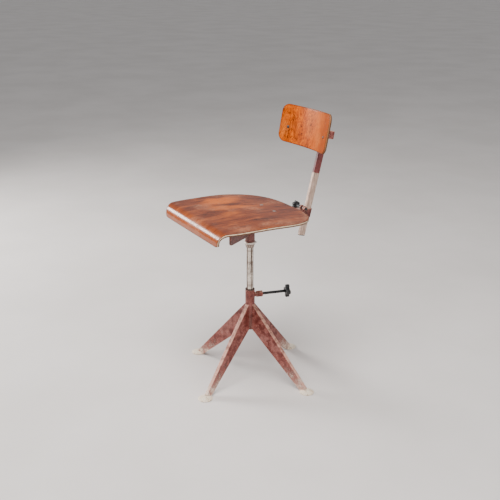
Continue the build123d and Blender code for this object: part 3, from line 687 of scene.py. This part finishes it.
def steel(name, light, dark, rust, rust_share, metallic, roughness, stretch=(1.0, 1.0, 0.12)):
    """Bare steel with fine drawn streaks, dull patches and rust specks."""
    m = Shader(name)
    place = m.position()
    streak = m.noise(m.scaled(place, stretch), 420, detail=5, roughness=0.65)
    patch = m.noise(m.scaled(place, (1.0, 1.0, 0.6)), 60, detail=5, roughness=0.6)
    speck = m.noise(place, 300, detail=6, roughness=0.75)
    colour = m.mix(m.step(streak, 0.35, 0.65), dark, light)
    colour = m.mix(m.math("MULTIPLY", m.step(patch, 0.46, 0.66), 0.5), colour, dark)
    spots = m.math("MULTIPLY", m.step(speck, 0.52, 0.62), m.step(patch, 0.44, 0.60))
    spots = m.math("MULTIPLY", spots, rust_share, clamp=True)
    colour = m.mix(spots, colour, rust)
    m.bump(m.math("ADD", m.math("MULTIPLY", streak, 0.5), m.math("MULTIPLY", spots, 0.8)), 0.00012, 0.5)
    return m.set(
        base_color=colour,
        metallic=m.blend(spots, metallic, 0.1),
        roughness=m.blend(spots, m.blend(streak, roughness, roughness + 0.14), 0.75),
    )


def column_finish():
    """Bare column with long dark streaks, dull bands round it and rust specks."""
    m = Shader("column_steel")
    place = m.position()
    band = m.noise(m.scaled(place, (0.0, 0.0, 1.0)), 42, detail=4, roughness=0.65)
    round_it = m.noise(m.scaled(place, (1.0, 1.0, 0.015)), 175, detail=2, roughness=0.5)
    long_streak = m.noise(m.scaled(place, (1.0, 1.0, 0.05)), 300, detail=4, roughness=0.6)
    speck = m.noise(m.scaled(place, (1.0, 1.0, 0.4)), 330, detail=6, roughness=0.75)
    patch = m.noise(m.scaled(place, (1.0, 1.0, 0.45)), 52, detail=4)
    streaks = m.math("ADD", m.math("MULTIPLY", round_it, 0.7), m.math("MULTIPLY", long_streak, 0.3))
    colour = m.mix(m.step(streaks, 0.47, 0.55), (0.055, 0.030, 0.022), (0.80, 0.72, 0.63))
    colour = m.mix(m.math("MULTIPLY", m.step(band, 0.50, 0.60), 0.55), colour, (0.15, 0.085, 0.065))
    rust = m.math("MULTIPLY", m.step(speck, 0.50, 0.60), m.step(patch, 0.46, 0.60))
    colour = m.mix(m.math("MULTIPLY", rust, 0.85), colour, (0.115, 0.05, 0.03))
    m.bump(m.math("ADD", m.math("MULTIPLY", long_streak, 0.4), rust), 0.00015, 0.5)
    return m.set(
        base_color=colour,
        metallic=m.blend(rust, 0.75, 0.1),
        roughness=m.blend(rust, m.blend(band, 0.20, 0.38), 0.8),
    )


def black_finish(name, roughness=0.42):
    """Black stove enamel, scuffed grey on its corners."""
    m = Shader(name)
    place = m.position()
    grit = m.noise(place, 500, detail=5, roughness=0.7)
    cloud = m.noise(place, 90, detail=4)
    scuffed = m.math("MULTIPLY", m.edge_wear(0.0012), m.step(grit, 0.42, 0.60))
    colour = m.mix(m.step(cloud, 0.4, 0.65), (0.010, 0.010, 0.011), (0.028, 0.027, 0.027))
    colour = m.mix(m.math("MULTIPLY", scuffed, 0.55), colour, (0.17, 0.16, 0.155))
    m.bump(grit, 0.00015, 0.35)
    return m.set(base_color=colour, roughness=m.blend(cloud, roughness, roughness + 0.16))


def bar_finish():
    """Back bar: bare, stained steel below a line across it, and dark red paint above."""
    m = Shader("bar_finish")
    place = m.position()
    _, y, z = m.split(place)
    rearward = m.math("MULTIPLY", y, math.sin(BAR_LEAN))
    upward = m.math("MULTIPLY", z, math.cos(BAR_LEAN))
    rise = m.math("ADD", rearward, upward)
    mottle = m.noise(place, 95, detail=5, roughness=0.65)
    streak = m.noise(m.scaled(place, (1.0, 1.0, 0.10)), 330, detail=5, roughness=0.6)
    grit = m.noise(place, 520, detail=5, roughness=0.7)
    edge_y, edge_z = BAR_PAINT_EDGE
    line = edge_z * math.cos(BAR_LEAN) + edge_y * math.sin(BAR_LEAN)
    ragged = m.math("ADD", rise, m.math("MULTIPLY", m.math("SUBTRACT", mottle, 0.5), 0.010))
    painted = m.step(ragged, line - 0.0015, line + 0.0015)
    bare = m.mix(m.step(streak, 0.38, 0.62), (0.44, 0.29, 0.22), (0.70, 0.52, 0.42))
    stain = m.math("MULTIPLY", m.step(mottle, 0.52, 0.66), 0.45)
    bare = m.mix(stain, bare, (0.36, 0.25, 0.19))
    red = m.mix(m.step(mottle, 0.35, 0.65), (0.15, 0.026, 0.026), (0.25, 0.058, 0.052))
    scratch = m.math("MULTIPLY", m.edge_wear(0.0016), m.step(grit, 0.36, 0.56))
    red = m.mix(m.math("MULTIPLY", scratch, 0.7), red, (0.55, 0.38, 0.32))
    m.bump(m.math("ADD", m.math("MULTIPLY", painted, 0.8), m.math("MULTIPLY", grit, 0.25)), 0.0002, 0.5)
    return m.set(
        base_color=m.mix(painted, bare, red),
        metallic=m.blend(painted, 0.35, 0.0),
        roughness=m.blend(painted, m.blend(streak, 0.44, 0.58), 0.48),
    )


def floor_finish():
    """Matt pale floor with faint broad shading."""
    m = Shader("floor")
    shade = m.noise(m.position(), 1.6, detail=5)
    colour = m.mix(m.step(shade, 0.3, 0.7), (0.72, 0.660, 0.618), (0.79, 0.727, 0.686))
    return m.set(base_color=colour, roughness=0.75)


def dress(material, *names):
    """Puts a material on the slots of CAD nodes."""
    for name in names:
        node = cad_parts[name]
        if not node.material_slots:
            node.data.materials.append(material)
        for item in node.material_slots:
            item.material = material


# ---- building ----
def build_plywood():
    """The seat and backrest, in place of their plain CAD panels."""
    seat_wood = wood(
        "seat_wood",
        dark=(0.042, 0.008, 0.002),
        mid=(0.170, 0.031, 0.006),
        light=(0.36, 0.082, 0.014),
        worn=(0.46, 0.21, 0.125),
        figure=0.7,
        swirl_share=0.15,
        edge_light=(0.90, 0.66, 0.44),
        gloss=0.17,
        glow=seat_glow,
    )
    back_wood = wood(
        "backrest_wood",
        dark=(0.085, 0.010, 0.0),
        mid=(0.44, 0.070, 0.0),
        light=(0.72, 0.155, 0.002),
        worn=(0.56, 0.16, 0.025),
        figure=2.4,
        swirl_share=0.55,
        edge_light=(0.34, 0.14, 0.055),
        gloss=0.05,
        glow=back_tone_and_painted_shade,
    )
    seat = plywood_shell("seat_plywood", seat_outline(), seat_surface)
    finish_piece(seat, "seat", "seat_wood", seat_wood, "seat_panel")
    back = plywood_shell("backrest_plywood", back_outline(), back_surface, count=200, rings=24)
    finish_piece(back, "backrest", "backrest_wood", back_wood, "backrest_panel")


def build_welds(weld):
    """Weld beads where the legs and arms meet their tubes, and round the clamp boss."""
    for index in range(LEG_COUNT):
        angle = FIRST_LEG_ANGLE + index * 2 * math.pi / LEG_COUNT
        for side in (-1, 1):
            name = f"leg_weld_{index}_{'a' if side < 0 else 'b'}"
            seed = 10 * index + side
            piece = upright_bead(name, TUBE_R, angle, side, LEG_HALF_WIDTH, *LEG_WELD_Z, seed)
            finish_piece(piece, "base", "leg_paint", weld)
    for index, angle in enumerate(ARM_ANGLES):
        for side in (-1, 1):
            name = f"arm_weld_{index}_{'a' if side < 0 else 'b'}"
            seed = 90 + 10 * index + side
            piece = upright_bead(name, SOCKET_R, angle, side, ARM_HALF_SHEET, *ARM_WELD_Z, seed)
            finish_piece(piece, "seat", "carrier_paint", weld)
    finish_piece(boss_bead(BOSS_SPIGOT_R), "base", "tube_paint", weld)


def build_hardware(black, dull, dark):
    """The long clamp screw with its thread, and the screw heads on the plywood."""
    out = Vector((math.cos(CLAMP_ANGLE), math.sin(CLAMP_ANGLE), 0.0))
    place = along_line(Vector((0, 0, CLAMP_Z)), out)
    stretches = [
        (BOSS_FACE_R, THREAD_END_R, THREAD_R, True),
        (THREAD_END_R, CLAMP_KNOB_AT_R - KNOB_CLEARANCE, PLAIN_ROD_R, False),
    ]
    rod = threaded_rod("clamp_screw_thread", place, stretches)
    finish_piece(rod, "height_clamp_screw", "clamp_black", black, "clamp_screw")
    finish_piece(back_screw_heads(), "backrest", "dark_screw", dark)
    finish_piece(seat_bolt_heads(), "seat", "hardware_steel", dull)


def dress_cad():
    """Materials for the CAD nodes. Returns those that the added pieces share."""
    dress(paint("leg_paint", -0.010, 0.062, wear=0.85), "leg_left", "leg_rear", "leg_right", "leg_front")
    dress(
        steel(
            "foot_steel", (1.0, 0.94, 0.80), (0.80, 0.58, 0.38), (0.12, 0.05, 0.02),
            rust_share=0.9, metallic=0.0, roughness=0.34, stretch=(1.0, 1.0, 1.0),
        ),
        "foot_left", "foot_rear", "foot_right", "foot_front",
    )
    dress(paint("tube_paint", *NEVER_BARE, wear=0.6, rust_low=0.17), "base_tube", "clamp_boss")
    # Darker carrier paint: partly its own dark red, partly painted shade under the seat.
    carrier = paint("carrier_paint", *NEVER_BARE, wear=0.40, shade=0.55)
    dress(
        carrier, "swivel_socket", "socket_cap", "seat_arm_left", "seat_arm_right", "seat_spine",
        "seat_cross_plate", "bar_strap", "backrest_yoke", "bar_clamp_nut",
    )
    dress(paint("bracket_paint", *NEVER_BARE, wear=1.0), "tilt_bracket")
    dress(column_finish(), "column_tube")
    ring = steel(
        "ring_steel", (0.92, 0.86, 0.78), (0.50, 0.42, 0.36), (0.13, 0.06, 0.035),
        rust_share=0.5, metallic=0.75, roughness=0.32,
    )
    dress(ring, "thrust_ring")
    collar = steel(
        "collar_steel", (0.46, 0.37, 0.31), (0.17, 0.12, 0.10), (0.10, 0.045, 0.03),
        rust_share=0.6, metallic=0.6, roughness=0.36,
    )
    dress(collar, "column_collar")
    dark_steel = steel(
        "bush_steel", (0.22, 0.10, 0.08), (0.07, 0.032, 0.026), (0.10, 0.035, 0.02),
        rust_share=0.5, metallic=0.4, roughness=0.45,
    )
    dress(dark_steel, "lower_bush", "upper_bush", "column_stop_plug", "clamp_shoe")
    dress(bar_finish(), "back_bar")
    black = black_finish("clamp_black")
    dress(black, "clamp_screw", "clamp_knob", "bar_clamp_knob", "bar_clamp_screw")
    dress(black_finish("plug_black", 0.6), "bar_foot_plug", "bar_top_plug")
    dull = steel(
        "hardware_steel", (0.58, 0.55, 0.51), (0.30, 0.27, 0.24), (0.14, 0.07, 0.04),
        rust_share=0.6, metallic=0.85, roughness=0.36,
    )
    dress(
        dull, "retaining_screw", "seat_bolts", "seat_bolt_washers", "seat_bolt_nuts", "arm_screws",
        "pivot_bush", "backrest_nuts", "tilt_bolt", "tilt_washers", "tilt_nut",
    )
    dark = steel(
        "dark_screw", (0.11, 0.085, 0.07), (0.045, 0.035, 0.03), (0.06, 0.028, 0.018),
        rust_share=0.6, metallic=0.7, roughness=0.42,
    )
    dress(dark, "backrest_screws", "ring_set_screw", "bar_clamp_washer")
    return black, dull, dark, carrier


# ---- stage, light and camera ----
def area_light(name, at, target, width, height, power):
    """White rectangular lamp that faces a point."""
    data = bpy.data.lights.new(name, "AREA")
    data.shape = "RECTANGLE"
    data.size = width
    data.size_y = height
    data.energy = power
    lamp = bpy.data.objects.new(name, data)
    bpy.context.scene.collection.objects.link(lamp)
    aim = Vector(target) - Vector(at)
    lamp.matrix_world = Matrix.Translation(at) @ aim.to_track_quat("-Z", "Y").to_matrix().to_4x4()


def build_stage():
    """Plain pale floor, even grey surroundings and three soft lamps."""
    far = FLOOR_REACH
    corners = [(-far, -far, 0), (far, -far, 0), (far, far, 0), (-far, far, 0)]
    floor = mesh_object("floor", corners, [(0, 1, 2, 3)], smooth=False)
    floor.data.materials.append(floor_finish())
    world = bpy.data.worlds.new("studio")
    world.use_nodes = True
    world.node_tree.nodes["Background"].inputs["Color"].default_value = (0.90, 0.93, 0.97, 1.0)
    world.node_tree.nodes["Background"].inputs["Strength"].default_value = SKY_STRENGTH
    bpy.context.scene.world = world
    area_light("window", (-2.56, -1.53, 1.42), (0, -0.20, 0.55), 1.1, 0.6, 100.0)
    area_light("overhead", (0.8, -1.0, 3.2), (0, 0, 0.4), 2.0, 2.0, 135.0)
    area_light("near_fill", (2.6, 0.6, 1.6), (0, 0, 0.4), 1.6, 1.6, 12.0)


def build_camera():
    """Camera on the sitter's left and partly in front, looking down at the chair."""
    data = bpy.data.cameras.new("camera")
    data.lens = CAMERA_LENS
    data.sensor_width = 36.0
    data.shift_y = 0.03
    data.clip_end = FLOOR_REACH
    camera = bpy.data.objects.new("camera", data)
    bpy.context.scene.collection.objects.link(camera)
    place = Vector(CAMERA_AT)
    level = Vector((-place.x, -place.y, 0.0)).normalized()
    aim = level * math.cos(CAMERA_PITCH) - Vector((0, 0, math.sin(CAMERA_PITCH)))
    camera.matrix_world = Matrix.Translation(place) @ aim.to_track_quat("-Z", "Y").to_matrix().to_4x4()
    bpy.context.scene.camera = camera


build_camera()
build_stage()
black, dull, dark, carrier = dress_cad()
build_plywood()
build_welds(carrier)
build_hardware(black, dull, dark)
